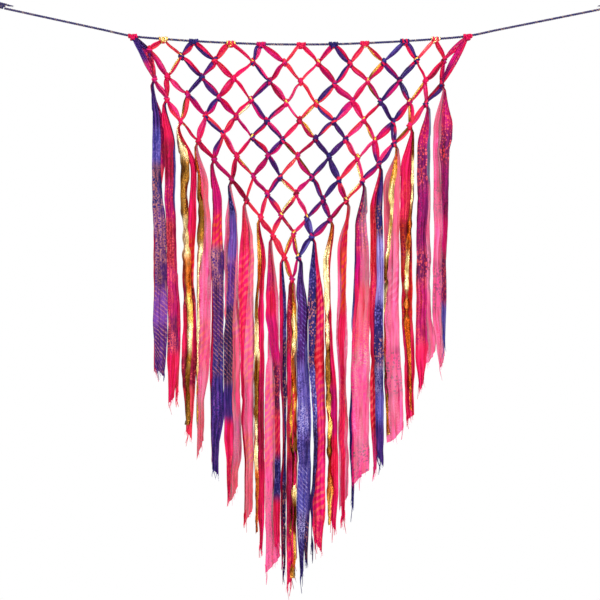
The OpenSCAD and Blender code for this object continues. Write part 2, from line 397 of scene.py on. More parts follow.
def spot(place):
    """A place as whole tenths of a millimetre, to look it up by."""
    return tuple(int(n) for n in np.round(place * 1e4))


def uneven_places():
    """Where each knot is drawn, by its spot in the CAD model."""
    places = {}
    cord = np.array(sorted(centres("header_knots"), key=lambda c: c[0]))
    for node, rows in UNEVEN.items():
        knots = sorted(centres(node), key=lambda c: -c[2])
        for row in rows:
            shifts = row.split()
            row_knots = sorted(knots[:len(shifts)], key=lambda c: c[0])
            knots = knots[len(shifts):]
            for shift, knot in zip(shifts, row_knots):
                right, up = (float(n) * MM for n in shift.split("/"))
                place = knot + np.array((right, 0.0, up))
                if node == "header_knots":  # it slides along the cord
                    place[2] = np.interp(place[0], cord[:, 0], cord[:, 2])
                places[spot(knot)] = place
    return places


def drawn(place):
    """Where the knot at a place of the CAD model is drawn."""
    return PLACES.get(spot(place), place)


def stand_in(piece, body, node, slot):
    """Make a piece ride on a body in place of a CAD node, and hide the node. The slot is not used."""
    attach(piece, body)
    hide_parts(node)


class Cloth:
    """A mesh made of grids of points, each with its place on the cloth, its dyes, its prints and the
    painted fold shade that darkens its dyes.
    """

    def __init__(self):
        self.points, self.faces, self.uvs, self.slots = [], [], [], []
        self.dye, self.ink, self.prints = [], [], []
        self.count = 0

    def grid(self, points, u, v, colours, slot=0, closed=False, fold_shade=0.0, other=0.0):
        """points is (rows, columns, 3), u a place across for each column (and one more if closed), v a
        place along for each row, and colours (dye, ink, prints) for each row. Of the last two, the first
        is how much painted fold shade darkens each point, deeper where the cloth lies double, and other
        how much of the ribbon's second colour shows there."""
        rows, cols = points.shape[:2]
        spans = cols if closed else cols - 1
        u, v = np.asarray(u, float), np.asarray(v, float)
        i, j = np.meshgrid(np.arange(rows - 1), np.arange(spans), indexing="ij")
        i, j = i.ravel(), j.ravel()
        k = (j + 1) % cols
        self.faces.append(self.count + np.stack(
            [i * cols + j, (i + 1) * cols + j, (i + 1) * cols + k, i * cols + k], axis=1))
        self.uvs.append(np.stack([np.stack([u[right], v[down]], 1) for right, down in (
            (j, i), (j, i + 1), (j + 1, i + 1), (j + 1, i))], axis=1))
        self.points.append(points.reshape(-1, 3))
        fold_shade, other = (np.broadcast_to(np.asarray(x, float), (rows, cols)).reshape(-1, 1)
                       for x in (fold_shade, other))
        dye, ink, prints = (np.repeat(np.asarray(x, float), cols, axis=0) for x in colours)
        dye, ink = dye * (1 - other) + ink * other, ink * (1 - other) + dye * other
        # Painted fold shade: the dye and ink are made darker and purer where it lies.
        for values in (dye, ink):
            values[:, :3] = values[:, :3] ** (1 + FOLD_SHADE_DEEPER * fold_shade) * (1 - FOLD_SHADE_DARKER * fold_shade)
        for store, values in zip((self.dye, self.ink, self.prints), (dye, ink, prints)):
            store.append(values)
        self.slots.append(np.full(len(i), slot))
        self.count += rows * cols

    def build(self, name, materials):
        mesh = bpy.data.meshes.new(name)
        points, faces = np.concatenate(self.points), np.concatenate(self.faces)
        mesh.from_pydata(points.tolist(), [], faces.tolist())
        layer = mesh.uv_layers.new(name="cloth")
        layer.data.foreach_set("uv", np.concatenate(self.uvs).ravel())
        for attribute, values in (("dye", self.dye), ("ink", self.ink), ("prints", self.prints)):
            data = mesh.attributes.new(attribute, "FLOAT_COLOR", "POINT").data
            data.foreach_set("color", np.concatenate(values).astype(np.float32).ravel())
        for material in materials:
            mesh.materials.append(material)
        mesh.polygons.foreach_set("material_index", np.concatenate(self.slots).astype(np.int32))
        mesh.shade_smooth()
        mesh.update()
        piece = bpy.data.objects.new(name, mesh)
        bpy.context.scene.collection.objects.link(piece)
        return piece


def paint(words, v, seed, blur=0.012):
    """Dye, ink and print weights for each place v along a ribbon that is coloured as words say. A
    colour runs into the next one over twice the blur."""
    parts = [w.split(":") for w in words.split()]
    dyes = np.array([[*linear(DYES[p[0]]), 1] for p in parts])
    inks = np.array([[*linear(DYES[p[2] if len(p) > 2 else TINTS.get(p[0], p[0])]), 1] for p in parts])
    # A colour that carries no print has a faint mosaic.
    marks = np.array([[float(p[1] == mark) if len(p) > 1 else 0.8 * (mark == "mosaic")
                       for mark in PRINTS] for p in parts])
    v = np.asarray(v, float)
    span = (v.max() - v.min()) / len(parts)
    uneven = 0.22 * draws(seed).uniform(-1, 1, len(parts) - 1)
    joins = v.min() + span * (np.arange(1, len(parts)) + uneven)
    place = sum((smooth(v, join - blur, join + blur) for join in joins), np.zeros(len(v)))
    i = np.clip(np.floor(place).astype(int), 0, len(parts) - 1)
    f = (place - i)[:, None]
    k = np.minimum(i + 1, len(parts) - 1)
    return tuple(x[i] * (1 - f) + x[k] * f for x in (dyes, inks, marks))


def plain_paint(colour, rows):
    """The same without a print, in one colour."""
    dye = np.tile([*linear(DYES[colour]), 1], (rows, 1))
    return dye, dye, np.zeros((rows, 4))


# ---------------------------------------------------------------------------------------------------
# Materials
# ---------------------------------------------------------------------------------------------------
class Shader:
    """A short way to write the nodes of a material or of the world."""

    def __init__(self, owner):
        self.owner = owner
        owner.use_nodes = True
        self.tree = owner.node_tree

    def node(self, kind, inputs=None, **settings):
        n = self.tree.nodes.new(kind)
        for key, value in settings.items():
            setattr(n, key, value)
        for key, value in (inputs or {}).items():
            self.put(n, key, value)
        return n

    def put(self, n, key, value):
        if isinstance(value, bpy.types.NodeSocket):
            self.tree.links.new(value, n.inputs[key])
        else:
            n.inputs[key].default_value = value

    def maths(self, operation, *values, clamp=False):
        return self.node("ShaderNodeMath", dict(enumerate(values)), operation=operation,
                         use_clamp=clamp).outputs[0]

    def times(self, a, b):
        return self.maths("MULTIPLY", a, b)

    def plus(self, a, b, clamp=False):
        return self.maths("ADD", a, b, clamp=clamp)

    def ranged(self, value, low, high, to_low=0.0, to_high=1.0, soft=True):
        return self.node(
            "ShaderNodeMapRange",
            {"Value": value, "From Min": low, "From Max": high, "To Min": to_low, "To Max": to_high},
            interpolation_type="SMOOTHSTEP" if soft else "LINEAR").outputs["Result"]

    def place(self):
        """Places across and along the cloth, in metres."""
        uv = self.node("ShaderNodeUVMap", uv_map="cloth").outputs["UV"]
        split = self.node("ShaderNodeSeparateXYZ", {0: uv})
        return split.outputs["X"], split.outputs["Y"]

    def vector(self, x, y, z=0.0):
        return self.node("ShaderNodeCombineXYZ", {0: x, 1: y, 2: z}).outputs[0]

    def noise(self, u, v, across, along, detail=3.0, rough=0.55, shift=0.0):
        """Noise with so many cells a metre across and along the cloth."""
        where = self.vector(self.times(u, across), self.times(v, along), shift)
        return self.node("ShaderNodeTexNoise", {
            "Vector": where, "Scale": 1.0, "Detail": detail, "Roughness": rough}).outputs["Fac"]

    def mix(self, factor, a, b, how="MIX"):
        n = self.node("ShaderNodeMix", data_type="RGBA", blend_type=how)
        self.put(n, 0, factor)
        self.put(n, 6, a)
        self.put(n, 7, b)
        return n.outputs[2]

    def attribute(self, name):
        return self.node("ShaderNodeAttribute", attribute_name=name)

    def cells(self, x, y, randomness=1.0, **settings):
        """Distance in a pattern of cells, one to each unit of x and y."""
        return self.node("ShaderNodeTexVoronoi", {
            "Vector": self.vector(x, y), "Scale": 1.0, "Randomness": randomness},
            **settings).outputs["Distance"]

    def bump(self, height, strength, distance):
        return self.node("ShaderNodeBump", {
            "Strength": strength, "Distance": distance, "Height": height}).outputs[0]

    def finish(self, inputs):
        """The finished material, with these inputs of its Principled node."""
        for key, value in inputs.items():
            self.put(self.tree.nodes["Principled BSDF"], key, value)
        return self.owner


def new_material(name):
    return Shader(bpy.data.materials.new(name))


def weave(s, u, v, pitch):
    """Height of a plain weave whose threads are pitch apart."""
    turn = 2 * math.pi / pitch
    warp = s.maths("SINE", s.times(u, turn))
    weft = s.maths("SINE", s.times(v, turn))
    return s.plus(s.times(warp, 0.5), s.times(weft, 0.5))


def printed_colour(s, u, v):
    """The ribbon's dye with its print, mottled as hand-dyed cloth is, and streaked with painted fold
    shade.
    """
    dye, ink = s.attribute("dye").outputs["Color"], s.attribute("ink").outputs["Color"]
    prints = s.attribute("prints")
    weights = s.node("ShaderNodeSeparateColor", {0: prints.outputs["Color"]})
    # Dots: small rings on a loose grid.
    cells = s.cells(s.times(u, 215.0), s.times(v, 200.0), 0.8)
    ring = s.times(s.ranged(cells, 0.12, 0.20), s.ranged(cells, 0.44, 0.34))
    # Stripes: thin slanting lines that come and go.
    worn = s.noise(u, v, 60, 60, 2, 0.5, 3.1)
    slant = s.maths("SUBTRACT", s.times(u, 520.0), s.times(v, 760.0))
    slant = s.plus(slant, s.times(worn, 2.0))
    line = s.times(s.ranged(s.maths("SINE", slant), 0.3, 1.0), s.ranged(worn, 0.30, 0.62, 0.0, 0.75))
    # Mosaic: a fine net of curls.
    curl = s.cells(s.plus(s.times(u, 240.0), s.times(worn, 1.4)), s.times(v, 210.0),
                   feature="DISTANCE_TO_EDGE")
    patch = s.noise(u, v, 45, 30, 2, 0.5, 7.7)
    net = s.times(s.ranged(curl, 0.12, 0.03), s.ranged(patch, 0.36, 0.52))
    # Bands: soft slanting bands, some wide and some narrow.
    broad = s.plus(s.times(u, 300.0), s.times(v, 430.0))
    broad = s.plus(broad, s.times(s.noise(u, v, 70, 26, 2, 0.5, 1.3), 9.0))
    band = s.times(s.ranged(s.maths("SINE", broad), -0.1, 0.7),
                   s.ranged(patch, 0.30, 0.50, 0.25, 1.0))
    amount = s.times(ring, weights.outputs[0])
    for mask, weight in ((line, weights.outputs[1]), (net, weights.outputs[2]),
                         (band, prints.outputs["Alpha"])):
        amount = s.plus(amount, s.times(mask, weight), clamp=True)
    # Small soft figures all over, so that no cloth is plain.
    figures = s.cells(s.times(u, 330.0), s.plus(s.times(v, 170.0), s.times(worn, 2.0)), 0.9)
    figures = s.times(s.ranged(figures, 0.50, 0.18), s.ranged(patch, 0.62, 0.40, 0.0, 0.34))
    amount = s.maths("MAXIMUM", amount, figures)
    colour = s.mix(s.times(amount, 0.88), dye, ink)
    # Pale patches at random, and painted fold shade: darker, purer streaks that run along the threads.
    pale = s.ranged(s.noise(u, v, 90, 32, 4, 0.6, 5.5), 0.54, 0.80, 0.0, 0.11)
    colour = s.mix(pale, colour, (1.0, 0.45, 0.5, 1.0), "SCREEN")
    fold_shade = s.ranged(s.noise(u, v, 200, 26, 3, 0.5, 9.2), 0.46, 0.70, 0.0, 0.58)
    colour = s.mix(fold_shade, colour, (0.62, 0.22, 0.45, 1.0), "MULTIPLY")
    return colour


def silk_material():
    s = new_material("sari_silk")
    u, v = s.place()
    colour = printed_colour(s, u, v)
    threads = weave(s, u, v, SILK_THREAD)
    # Painted shade in the hollows between the woven threads.
    thread_gap_shade = s.ranged(threads, -1.0, 1.0, 0.16, 0.0, False)
    colour = s.mix(thread_gap_shade, colour, (0.4, 0.3, 0.4, 1.0), "MULTIPLY")
    crinkle = s.noise(u, v, 210, 62, 4, 0.55)
    slub = s.noise(u, v, 1500, 60, 2, 0.5, 4.4)
    height = s.plus(s.plus(crinkle, s.times(slub, 0.12)), s.times(threads, 0.05))
    rough = s.ranged(s.noise(u, v, 200, 60, 2, 0.5, 2.2), 0.3, 0.7, 0.36, 0.56)
    return s.finish({
        "Base Color": colour, "Roughness": rough, "Normal": s.bump(height, 0.75, 0.0016),
        "Specular IOR Level": 0.14, "Sheen Weight": 0.05, "Sheen Roughness": 0.35,
        "Sheen Tint": (1.0, 0.7, 0.8, 1.0)})


def chiffon_material():
    s = new_material("chiffon")
    u, v = s.place()
    colour = printed_colour(s, u, v)
    threads = weave(s, u, v, CHIFFON_THREAD)
    crinkle = s.noise(u, v, 260, 40, 3, 0.55)
    height = s.plus(crinkle, s.times(threads, 0.06))
    sheer = s.ranged(s.noise(u, v, 120, 16, 3, 0.5, 6.6), 0.3, 0.7, 0.84, 0.97)
    sheer = s.maths("SUBTRACT", sheer, s.ranged(threads, 0.2, 1.0, 0.0, 0.14), clamp=True)
    return s.finish({
        "Base Color": colour, "Roughness": 0.55, "Normal": s.bump(height, 0.6, 0.0013), "Alpha": sheer,
        "Specular IOR Level": 0.08, "Sheen Weight": 0.05, "Sheen Roughness": 0.4,
        "Sheen Tint": (1.0, 0.5, 0.7, 1.0)})


def gold_material():
    s = new_material("metallic_ribbon")
    u, v = s.place()
    dye = s.attribute("dye").outputs["Color"]
    worn = s.noise(u, v, 120, 60, 3, 0.6, 1.9)
    colour = s.mix(s.ranged(worn, 0.45, 0.75, 0.0, 0.55), dye, (0.26, 0.15, 0.05, 1.0))
    threads = s.maths("SINE", s.times(v, 2 * math.pi / METAL_THREAD))
    colour = s.mix(s.ranged(threads, 0.2, 1.0, 0.0, 0.3), colour, (0.45, 0.3, 0.12, 1.0), "MULTIPLY")
    facets = s.cells(s.times(u, 160.0), s.times(v, 85.0))
    crease = s.noise(u, v, 420, 260, 3, 0.6, 8.1)
    height = s.plus(s.times(facets, 1.2), s.times(crease, 0.7))
    height = s.plus(height, s.times(threads, 0.04))
    return s.finish({
        "Base Color": colour, "Metallic": 1.0, "Roughness": s.ranged(worn, 0.3, 0.7, 0.20, 0.38),
        "Normal": s.bump(height, 0.7, 0.0016)})


def cord_material():
    s = new_material("twisted_cord")
    u, v = s.place()
    navy, blue, tan, glint_cream = ((*linear(rgb), 1.0) for rgb in (
        (20, 16, 60), (46, 42, 112), (190, 150, 110), (236, 212, 170)))
    fibre = s.noise(u, v, 2600, 260, 3, 0.6)
    colour = s.mix(s.ranged(fibre, 0.35, 0.7), navy, blue)
    fleck = s.noise(u, v, 500, 46, 3, 0.6, 3.7)
    colour = s.mix(s.ranged(fleck, 0.57, 0.66, 0.0, 0.9), colour, tan)
    # Painted glints: small cream specks of sparkle on the fibres.
    glint_specks = s.noise(u, v, 900, 300, 2, 0.5, 6.3)
    colour = s.mix(s.ranged(glint_specks, 0.66, 0.72, 0.0, 0.8), colour, glint_cream)
    height = s.plus(fibre, s.times(s.noise(u, v, 5200, 500, 2, 0.5, 1.1), 0.5))
    return s.finish({
        "Base Color": colour, "Roughness": s.ranged(fibre, 0.3, 0.7, 0.55, 0.8),
        "Normal": s.bump(height, 0.8, 0.0004), "Sheen Weight": 0.1, "Sheen Roughness": 0.5,
        "Sheen Tint": (0.8, 0.82, 1.0, 1.0), "Specular IOR Level": 0.3})


def floor_material():
    s = new_material("pale_floor")
    where = s.node("ShaderNodeTexCoord").outputs["Object"]
    grain = s.node("ShaderNodeTexNoise", {"Vector": where, "Scale": 9.0, "Detail": 3.0}).outputs["Fac"]
    colour = s.mix(s.ranged(grain, 0.3, 0.7), (0.93, 0.93, 0.935, 1.0), (0.95, 0.95, 0.95, 1.0))
    return s.finish({"Base Color": colour, "Roughness": 0.7, "Specular IOR Level": 0.2})


# ---------------------------------------------------------------------------------------------------
# Camera, light and floor
# ---------------------------------------------------------------------------------------------------
def aim(thing, place, target):
    thing.location = place
    thing.rotation_euler = (Vector(target) - Vector(place)).to_track_quat("-Z", "Y").to_euler()
    bpy.context.scene.collection.objects.link(thing)


def make_camera():
    """Level, straight in front of the hanging."""
    data = bpy.data.cameras.new("camera")
    data.lens, data.sensor_width, data.clip_end = 85, 36, 50
    camera = bpy.data.objects.new("camera", data)
    distance = VIEW_WIDTH * data.lens / data.sensor_width
    aim(camera, (VIEW_MIDDLE[0], -distance, VIEW_MIDDLE[2]), VIEW_MIDDLE)
    bpy.context.scene.camera = camera


def make_lights():
    middle = (VIEW_MIDDLE[0], 0, -0.5)
    for name, place, size, power, colour in (
            ("key_softbox", (1.75, -2.6, 0.75), 1.3, 76, (1.0, 0.985, 0.99)),
            ("fill_softbox", (-1.3, -2.3, -0.1), 1.6, 28, (0.96, 0.975, 1.0)),
            ("top_softbox", (0.4, -0.6, 1.7), 1.2, 18, (1.0, 1.0, 1.0)),
            ("back_softbox", (0.9, 2.4, 0.5), 1.6, 26, (1.0, 0.99, 0.98))):
        data = bpy.data.lights.new(name, "AREA")
        data.energy, data.size, data.color = power, size, colour
        aim(bpy.data.objects.new(name, data), place, middle)


def make_world():
    """White behind the object and even soft light on it, with darker ground for metal to mirror."""
    world = bpy.data.worlds.new("studio")
    s = Shader(world)
    s.tree.nodes.clear()
    rays = s.node("ShaderNodeLightPath").outputs
    where = s.node("ShaderNodeTexCoord").outputs["Generated"]
    noise = s.node("ShaderNodeTexNoise", {"Vector": where, "Scale": 3.2, "Detail": 1.0}).outputs["Fac"]
    ramp = s.node("ShaderNodeValToRGB", {"Fac": noise})
    for stop, position, grey in zip(ramp.color_ramp.elements, (0.42, 0.62), (0.05, 1.1)):
        stop.position, stop.color = position, (grey, grey, grey, 1)
    even = s.node("ShaderNodeBackground", {"Color": (0.97, 0.98, 1.0, 1), "Strength": 0.48}).outputs[0]
    mirrored = s.node("ShaderNodeBackground", {"Color": ramp.outputs["Color"]}).outputs[0]
    seen = s.node("ShaderNodeBackground", {"Color": (1, 1, 1, 1)}).outputs[0]
    lit = s.node("ShaderNodeMixShader", {0: rays["Is Glossy Ray"], 1: even, 2: mirrored}).outputs[0]
    shown = s.node("ShaderNodeMixShader", {0: rays["Is Camera Ray"], 1: lit, 2: seen}).outputs[0]
    s.node("ShaderNodeOutputWorld", {"Surface": shown})
    bpy.context.scene.world = world
    bpy.context.scene.view_settings.view_transform = "Standard"


def make_floor():
    """A pale disc well below the fringe."""
    sides, radius, height = 96, 2.1, -1.62
    angles = np.arange(sides) * 2 * math.pi / sides
    points = [(VIEW_MIDDLE[0] + radius * math.cos(a), radius * math.sin(a), height) for a in angles]
    mesh = bpy.data.meshes.new("floor")
    mesh.from_pydata(points, [], [list(range(sides))])
    mesh.materials.append(floor_material())
    floor = bpy.data.objects.new("floor", mesh)
    bpy.context.scene.collection.objects.link(floor)


# ---------------------------------------------------------------------------------------------------
# Cord, its end loops and their knots
# ---------------------------------------------------------------------------------------------------
def distances(line):
    """How far along a line each of its points is."""
    return np.concatenate([[0], np.cumsum(np.linalg.norm(np.diff(line, axis=0), axis=1))])


def unit_rows(vectors):
    return vectors / np.linalg.norm(vectors, axis=1)[:, None]


def tangents(line):
    return unit_rows(np.gradient(line, axis=0))


def across_axis(axis):
    """A unit vector along an axis, and two across it."""
    axis = np.array(axis, float) / np.linalg.norm(axis)
    first = np.cross(axis, BACK)
    first /= np.linalg.norm(first)
    return axis, first, np.cross(axis, first)


def resample(points, step):
    """A smooth curve through points, with a point about every step, and the distance along it."""
    p = np.asarray(points, float)
    full = np.concatenate([2 * p[:1] - p[1:2], p, 2 * p[-1:] - p[-2:-1]])
    curve = []
    for k in range(len(full) - 3):
        a, b, c, d = full[k:k + 4]
        t = np.linspace(0, 1, 24, endpoint=False)[:, None]
        curve.append(0.5 * (2 * b + (c - a) * t + (2 * a - 5 * b + 4 * c - d) * t ** 2
                            + (3 * b - a - 3 * c + d) * t ** 3))
    curve = np.concatenate(curve + [full[-2:-1]])
    along = distances(curve)
    places = np.linspace(0, along[-1], max(4, int(round(along[-1] / step)) + 1))
    return np.stack([np.interp(places, along, curve[:, k]) for k in range(3)], axis=1), places


def rope(cloth, points, radius, step=0.0009, pitch=0.0125, taper=False):
    """A cord twisted from three plies, one turn in each pitch. Returns the points that it follows."""
    line, along = resample(points, step)
    tangent = tangents(line)
    side = np.cross(tangent[0], BACK)
    sides = []
    for t in tangent:  # carried along without turning
        side = side - t * side.dot(t)
        side /= np.linalg.norm(side)
        sides.append(side)
    sides = np.array(sides)
    other = np.cross(tangent, sides)
    count = 21
    angle = np.arange(count) * 2 * math.pi / count
    # Outline of three round plies that touch: bulges, with grooves between them.
    ply, offset = 0.52 * radius, 0.48 * radius
    local = (angle % (2 * math.pi / 3)) - math.pi / 3
    reach = offset * np.cos(local) + np.sqrt(np.maximum(ply ** 2 - (offset * np.sin(local)) ** 2, 0))
    reach *= 0.97 * radius / reach.max()
    turn = 2 * math.pi * along / pitch
    full = angle[None, :] + turn[:, None]
    size = np.ones(len(line))
    if taper:
        size = 1 - 0.35 * smooth(along, along[-1] - 0.006, along[-1])
    points = line[:, None, :] + reach[None, :, None] * size[:, None, None] * (
        np.cos(full)[..., None] * sides[:, None, :] + np.sin(full)[..., None] * other[:, None, :])
    u = np.arange(count + 1) / count * 2 * math.pi * radius
    cloth.grid(points, u, along, plain_paint("navy", len(line)), closed=True)
    return line


def tuft(cloth, centre, radius, direction, length, seed):
    """A frayed tuft of fibres at a cut end of the cord."""
    rng = draws(seed)
    direction, first, second = across_axis(direction)
    for _ in range(14):
        angle, reach = rng.uniform(0, 2 * math.pi), radius * math.sqrt(rng.uniform(0, 1))
        out = math.cos(angle) * first + math.sin(angle) * second
        size, n = length * rng.uniform(0.6, 1.2), 5
        t = np.linspace(0, 1, n)[:, None]
        spread = out * 0.4 * size * t ** 2 * rng.uniform(0.2, 1)
        line = np.array(centre) + out * reach + direction * size * t + spread
        line[:, 2] -= 0.15 * size * t[:, 0] ** 2
        wide = 0.00022 * (1 - 0.5 * t)
        across = second * math.cos(angle) - first * math.sin(angle)
        grid = np.stack([line - across * wide, line + across * wide], axis=1)
        cloth.grid(grid, [0, 0.0004], t[:, 0] * size, plain_paint("navy", n))


def make_cord(material):
    route = [(x * MM, 0.0, z * MM) for x, z in CORD_ROUTE]
    cloth = Cloth()
    line = rope(cloth, route, CORD_D / 2)
    cord = cloth.build("hanging_cord_rope", [material])
    stand_in(cord, NET, "hanging_cord", "navy_cord")


def make_loops(material):
    """The eye at each end of the cord, and the wound knot that closes it, with its short cut end."""
    for side, mirror in (("left", 1), ("right", -1)):
        low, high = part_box(f"{side}_hanging_loop")
        middle = np.array((low + high) / 2)
        ring = (high[0] - low[0]) / 2 - CORD_D / 2
        angles = np.arange(24) * 2 * math.pi / 24
        cloth = Cloth()
        # The eye narrows a little towards its knot.
        narrow = [1 - 0.10 * max(0, mirror * math.cos(a)) for a in angles]
        eye = [middle + (ring * math.cos(a), 0, ring * math.sin(a) * n) for a, n in zip(angles, narrow)]
        rope(cloth, eye + eye[:1], CORD_D / 2)
        piece = cloth.build(f"{side}_loop_cord", [material])
        stand_in(piece, ROOT, f"{side}_hanging_loop", "navy_cord")

        low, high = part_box(f"{side}_loop_knot")
        middle = np.array((low + high) / 2)
        axis = np.array((SIDEWAYS * mirror, 0, -DOWNWARDS))
        up = np.array((DOWNWARDS * mirror, 0, SIDEWAYS))
        cloth = Cloth()
        turns, reach, wide = 2.9, 0.0036, 0.0098
        wound = []
        for t in np.linspace(0, 1, 44):
            a = 2 * math.pi * turns * t + 0.8
            swell = 1 + 0.10 * math.sin(math.pi * t)
            wound.append(middle + axis * (t - 0.5) * wide
                         + reach * swell * (math.cos(a) * up + math.sin(a) * BACK))
        rope(cloth, wound, CORD_D / 2 * 0.92, step=0.0011, pitch=0.011)
        core = [middle + axis * x + up * 0.0006 for x in (-0.009, -0.003, 0.003, 0.0075)]
        rope(cloth, core, CORD_D / 2, step=0.0013)
        # The cut end lies back along the cord.
        cut = [middle + axis * x + up * z + BACK * y for x, y, z in (
            (0.002, 0.0006, 0.0040), (0.007, 0.0002, 0.0042), (0.012, -0.0008, 0.0036),
            (0.0185, -0.0010, 0.0040))]
        line = rope(cloth, cut, CORD_D / 2 * 0.9, step=0.0011, taper=True)
        tuft(cloth, line[-1], CORD_D / 2 * 0.6, line[-1] - line[-3], 0.004, seed_of(side, "cut"))
        piece = cloth.build(f"{side}_loop_wound_knot", [material])
        stand_in(piece, ROOT, f"{side}_loop_knot", "navy_cord")


# ---------------------------------------------------------------------------------------------------
# Ribbons
# ---------------------------------------------------------------------------------------------------
def turned(normal, angle):
    """The directions across and out of a ribbon that is turned from its normal towards the back."""
    c, s = np.cos(angle)[:, None], np.sin(angle)[:, None]
    return normal * c + BACK * s, -normal * s + BACK * c


def pleated(spine, across, out, half, cut, pleats, seed, along, soft, hem):
    """A ribbon gathered into pleats along a spine, whose width over the pleats is its cut width. half
    is its visible half width, soft how unevenly the pleats lie, and hem how much painted shade darkens
    its edges, as rolled hems. Returns its points (rows, columns, 3), each column's place across, the
    painted shade of its folds, deeper where it lies double, and where its second colour shows."""
    spans = 4 * pleats
    column = np.arange(spans + 1) / spans
    rng = draws(seed)
    phase = rng.randint(0, 4)
    wave = np.array([0, 1, 0, -1])[(np.arange(spans + 1) + phase) % 4].astype(float)
    # The cloth that the visible width leaves over stands out in the pleats.
    slack = np.sqrt(np.maximum(cut ** 2 - (2 * half) ** 2, (0.2 * cut) ** 2)) / (4 * pleats)
    rows = len(along)
    side, lift = np.zeros((rows, spans + 1)), np.zeros((rows, spans + 1))
    fold_shade, other = np.zeros((rows, spans + 1)), np.zeros((rows, spans + 1))
    for j in range(spans + 1):
        other[:, j] = 0.6 * smooth(wander(seed + 211 * (j // 2), along, 0.085), 0.15, 0.65)
        edge = 0.4 if j in (0, spans) else 1.0
        side[:, j] = 2 * column[j] - 1 + 2 * soft * edge * wander(seed + 31 * j, along, 0.045)
        side[:, j] += 0.7 * soft * wander(seed + 83 * j, along, 0.014)
        lift[:, j] = wave[j] * (1 + 0.45 * wander(seed + 57 * j, along, 0.035))
        # Painted fold shade: random darker streaks along the pleats, on both sides of the cloth, as
        # where folded cloth lies double.
        fold_shade[:, j] = smooth(wander(seed + 101 * j, along, 0.06) + rng.uniform(-0.5, 0.5), -0.1, 0.6)
    # The edges get painted shade as well, for their rolled hems.
    fold_shade[:, (0, -1)] = np.maximum(fold_shade[:, (0, -1)], hem)
    points = (spine[:, None, :] + (half[:, None] * side)[..., None] * across[:, None, :]
              + (slack[:, None] * lift)[..., None] * out[:, None, :])
    return points, column * cut, fold_shade, other


def net_ribbon(name, node, knots, sign, kind, words, materials, mixed):
    """One ribbon of a strand: it zigzags from knot to knot, gathered at each knot and open between.
    sign says which side of the strand it lies on, and mixed that the strand is of silk and metallic
    ribbon, which lies behind the silk on some arms."""
    seed = seed_of(name)
    bows = draws(seed_of(node)).uniform(-1, 1, 60)
    steps = 14
    arms = []
    for k in range(len(knots) - 1):
        a, b = knots[k], knots[k + 1]
        run = b - a
        size = np.linalg.norm(run)
        normal = np.array((-run[2], 0, run[0])) / size
        if normal[0] < 0:
            normal = -normal
        last = k == len(knots) - 2
        q = np.linspace(0, 1, steps + 1 if last else steps, endpoint=last)
        belly = np.sin(math.pi * q ** (1 + 0.45 * bows[k + 10]))
        swing = bows[k] * 0.0016 * belly + 0.0011 * bows[k + 20] * np.sin(2 * math.pi * q)
        count = len(q)
        arms.append((
            a + run * q[:, None] + normal * swing[:, None], np.clip(belly, 0, 1),
            np.repeat(normal[None, :], count, axis=0), np.full(count, 0.95 + 0.38 * bows[k + 30]),
            0.5 * bows[k + 5] + 2.6 * bows[k + 15] * (q - 0.5),
            np.full(count, float(mixed and bows[k + 40] < 0.15))))
    spine, open_, offset, girth, twist, hidden = (np.concatenate(part) for part in zip(*arms))
    hidden = hidden * smooth(open_, 0.1, 0.5)
    along = distances(spine)
    fill = 1 + 0.30 * wander(seed + 5, along, 0.022) + 0.12 * wander(seed + 6, along, 0.009)
    gold = kind == "gold"
    if mixed:
        girth = girth * (0.60 if gold else 1.15)
    half = 0.0010 if gold else 0.0014
    half = half + 0.0017 * open_ ** 0.85 * fill * girth * (1 + 0.2 * hidden * (not gold))
    apart = (0.0009 + 0.0017 * open_ ** 0.9 * girth) * (1 - 0.75 * hidden)
    twist = twist * (1 - hidden) + sign * (1 if gold else -1) * 0.5 * math.pi * hidden
    # The normal turns over inside each knot, so it is smoothed there.
    for _ in range(2):
        offset[1:-1] = (offset[:-2] + 2 * offset[1:-1] + offset[2:]) / 4
    offset = unit_rows(offset)
    rock = 0.75 * wander(seed + 9, along, 0.025) * open_ ** 0.5
    across, out = turned(offset, rock)
    # The two ribbons wind about each other: one crosses before the other on some arms.
    spine = spine + (sign * apart * np.cos(twist))[:, None] * offset
    spine = spine + (sign * (0.0004 + 0.8 * apart * np.sin(twist)))[:, None] * BACK
    spine = spine + ((1 if gold else -1) * 0.0011 * hidden)[:, None] * BACK
    net_piece(name, node, kind, words, materials, (spine, across, out, half), NET_CUT_WIDTH[kind],
              NET_PLEATS[kind], along, 0.006)


def slot_for(kind, words):
    """The record's slot for a ribbon: for silk, the one that most of its colours belong to."""
    if kind != "silk":
        return {"gold": "gold_ribbon", "chiffon": "pale_pink_chiffon"}[kind]
    slots = [SLOTS.get(w.split(":")[0], "pale_pink_chiffon") for w in words.split()]
    return max(sorted(set(slots)), key=slots.count)


def net_piece(name, node, kind, words, materials, shape, cut, pleats, along, blur):
    """A finished ribbon of the net. shape is its spine, its directions across and out, and half its
    visible width."""
    seed = seed_of(name)
    points, u, fold_shade, other = pleated(*shape, cut, pleats, seed, along, 0.06, 0.9)
    cloth = Cloth()
    cloth.grid(points, u, along, paint(words, along, seed, blur), fold_shade=fold_shade, other=0.5 * other)
    piece = cloth.build(name, [materials[kind]])
    stand_in(piece, NET, node, slot_for(kind, words))


def strand_ends(solid):
    """The two ends of an arm of the net, from the top."""
    middle = solid.mean(axis=0)
    axis = np.linalg.svd(solid - middle, full_matrices=False)[2][0]
    reach = (solid - middle) @ axis
    ends = [middle + axis * reach.max(), middle + axis * reach.min()]
    return sorted(ends, key=lambda p: -p[2])


def strand_knots(node, knots):
    """Centres of the knots that a strand runs through, from the top."""
    arms = sorted((strand_ends(s) for s in islands(node)), key=lambda e: -e[0][2])
    path = []
    for end in [e for arm in arms for e in arm]:
        nearest = min(knots, key=lambda k: np.linalg.norm(k - end))
        if not path or np.linalg.norm(path[-1] - nearest) > SAME_PLACE:
            path.append(nearest)
    return path


